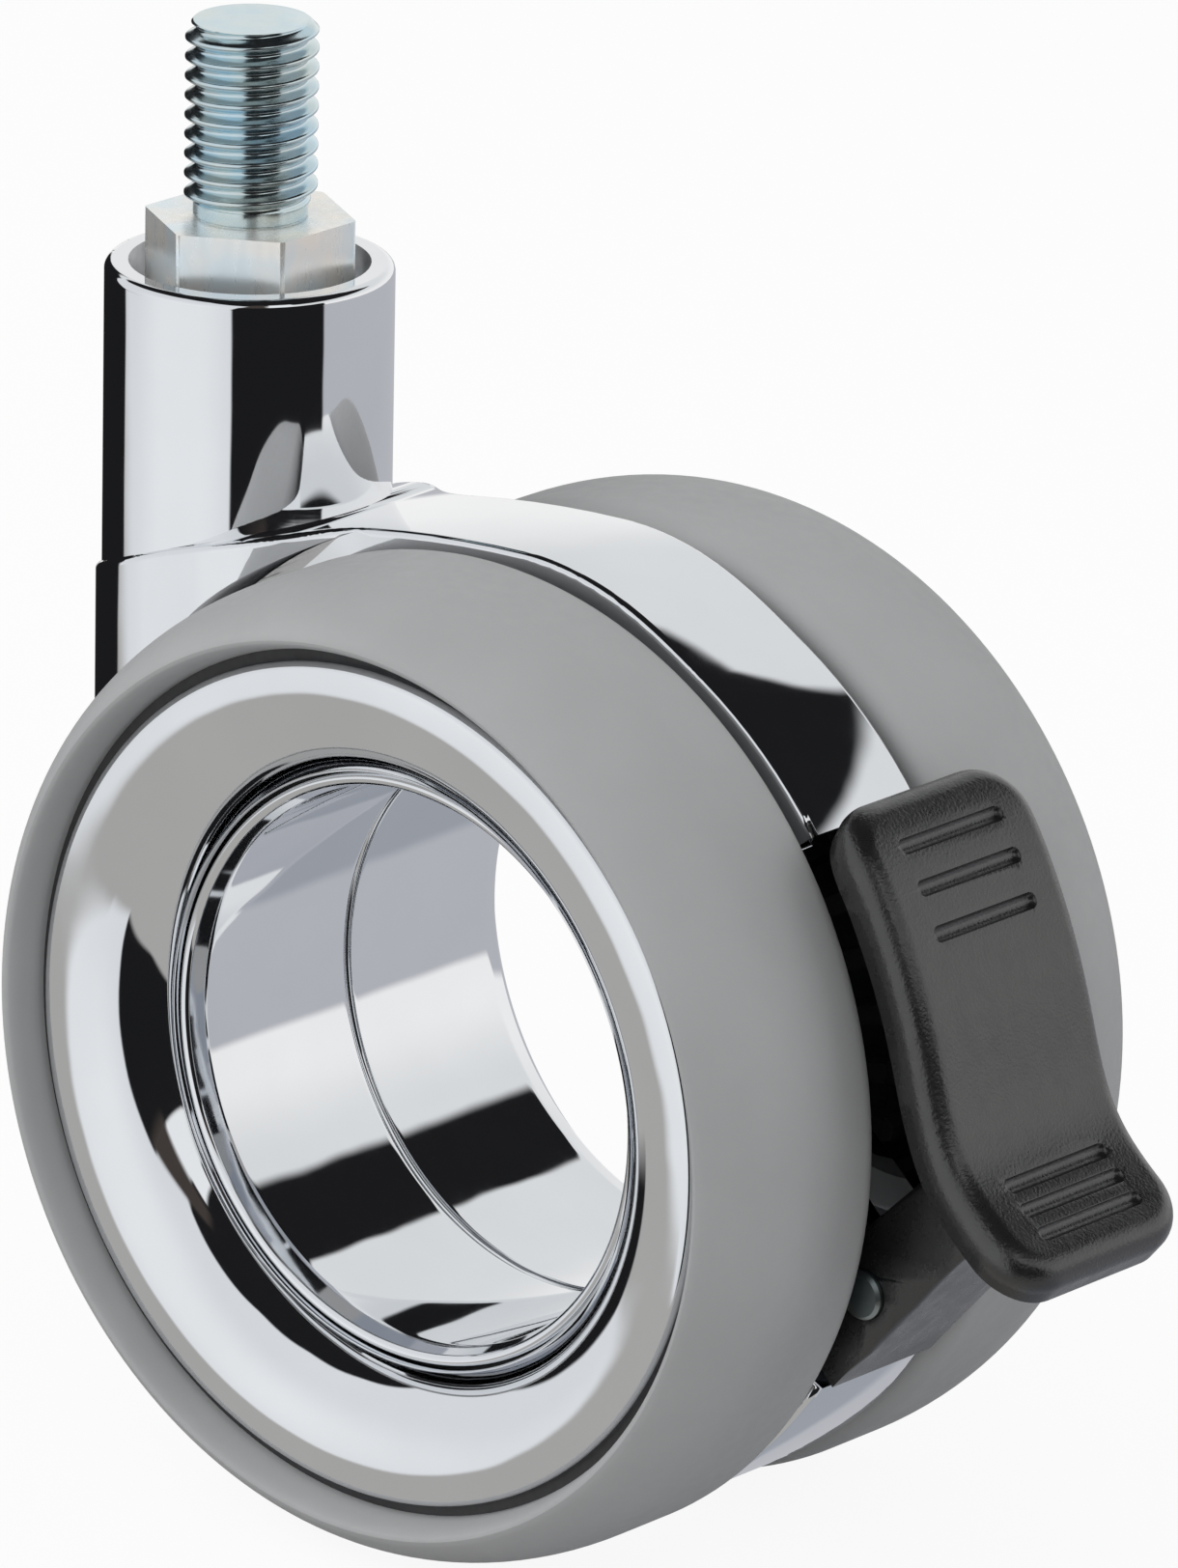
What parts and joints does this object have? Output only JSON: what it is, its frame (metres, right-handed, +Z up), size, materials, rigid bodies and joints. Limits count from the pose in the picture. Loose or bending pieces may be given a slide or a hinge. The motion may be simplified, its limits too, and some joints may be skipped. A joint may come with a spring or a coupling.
{
  "type": "twin wheel castor",
  "caption": "Twin wheel furniture castor with an open chrome hub, soft grey treads, a threaded swivel stem and a black brake lever.",
  "frame": {"origin": "on the swivel axis, at the hexagon's upper face, where the stem meets the furniture", "axes": "+Z up along the stem, +X from the swivel axis to the wheel axis and the brake lever, +Y along the wheel axis"},
  "size_m": [0.0965, 0.0492, 0.108],
  "materials": {
    "zinc_steel": "zinc plated, satin",
    "chrome": "polished",
    "tread": "matte, soft",
    "lever_black": "fine grain",
    "core_black": "moulded",
    "bearing_white": "moulded",
    "bush_bronze": "sintered",
    "spring_steel": "blank"
  },
  "bodies": {
    "stem": {"stem": "zinc_steel", "retaining_ring": "spring_steel"},
    "housing": {"housing": "chrome", "stem_bush": "bush_bronze", "thrust_washer": "bearing_white", "left_axle_sleeve": "chrome", "right_axle_sleeve": "chrome", "left_spacer_washer": "bearing_white", "right_spacer_washer": "bearing_white", "lever_pin": "zinc_steel", "return_leaf": "spring_steel"},
    "left_wheel": {"left_wheel_core": "core_black", "left_bearing_ring": "bearing_white", "left_tread": "tread", "left_face_ring": "chrome"},
    "right_wheel": {"right_wheel_core": "core_black", "right_bearing_ring": "bearing_white", "right_tread": "tread", "right_face_ring": "chrome"},
    "lever": {"brake_lever": "lever_black"},
    "slide": {"brake_slide": "zinc_steel", "locking_rod": "zinc_steel"}
  },
  "joints": [
    {"name": "swivel", "type": "hinge", "parent": "stem", "child": "housing", "pos_m": [0, 0, 0], "axis": [0, 0, 1], "continuous": true},
    {"name": "left_wheel_spin", "type": "hinge", "parent": "housing", "child": "left_wheel", "pos_m": [0.032, 0, -0.0555], "axis": [0, 1, 0], "continuous": true},
    {"name": "right_wheel_spin", "type": "hinge", "parent": "housing", "child": "right_wheel", "pos_m": [0.032, 0, -0.0555], "axis": [0, 1, 0], "continuous": true},
    {"name": "lever_tilt", "type": "hinge", "parent": "housing", "child": "lever", "pos_m": [0.0667, 0, -0.06705], "axis": [0, 1, 0], "range_deg": [0, 14]},
    {"name": "slide_travel", "type": "slide", "parent": "housing", "child": "slide", "axis": [-0.8572, 0, 0.515], "range_m": [0, 0.0015], "deforming": ["return_leaf"]}
  ],
  "couplings": [
    {"joint": "slide_travel", "follows": "lever_tilt", "m_per_rad": 0.006138}
  ]
}
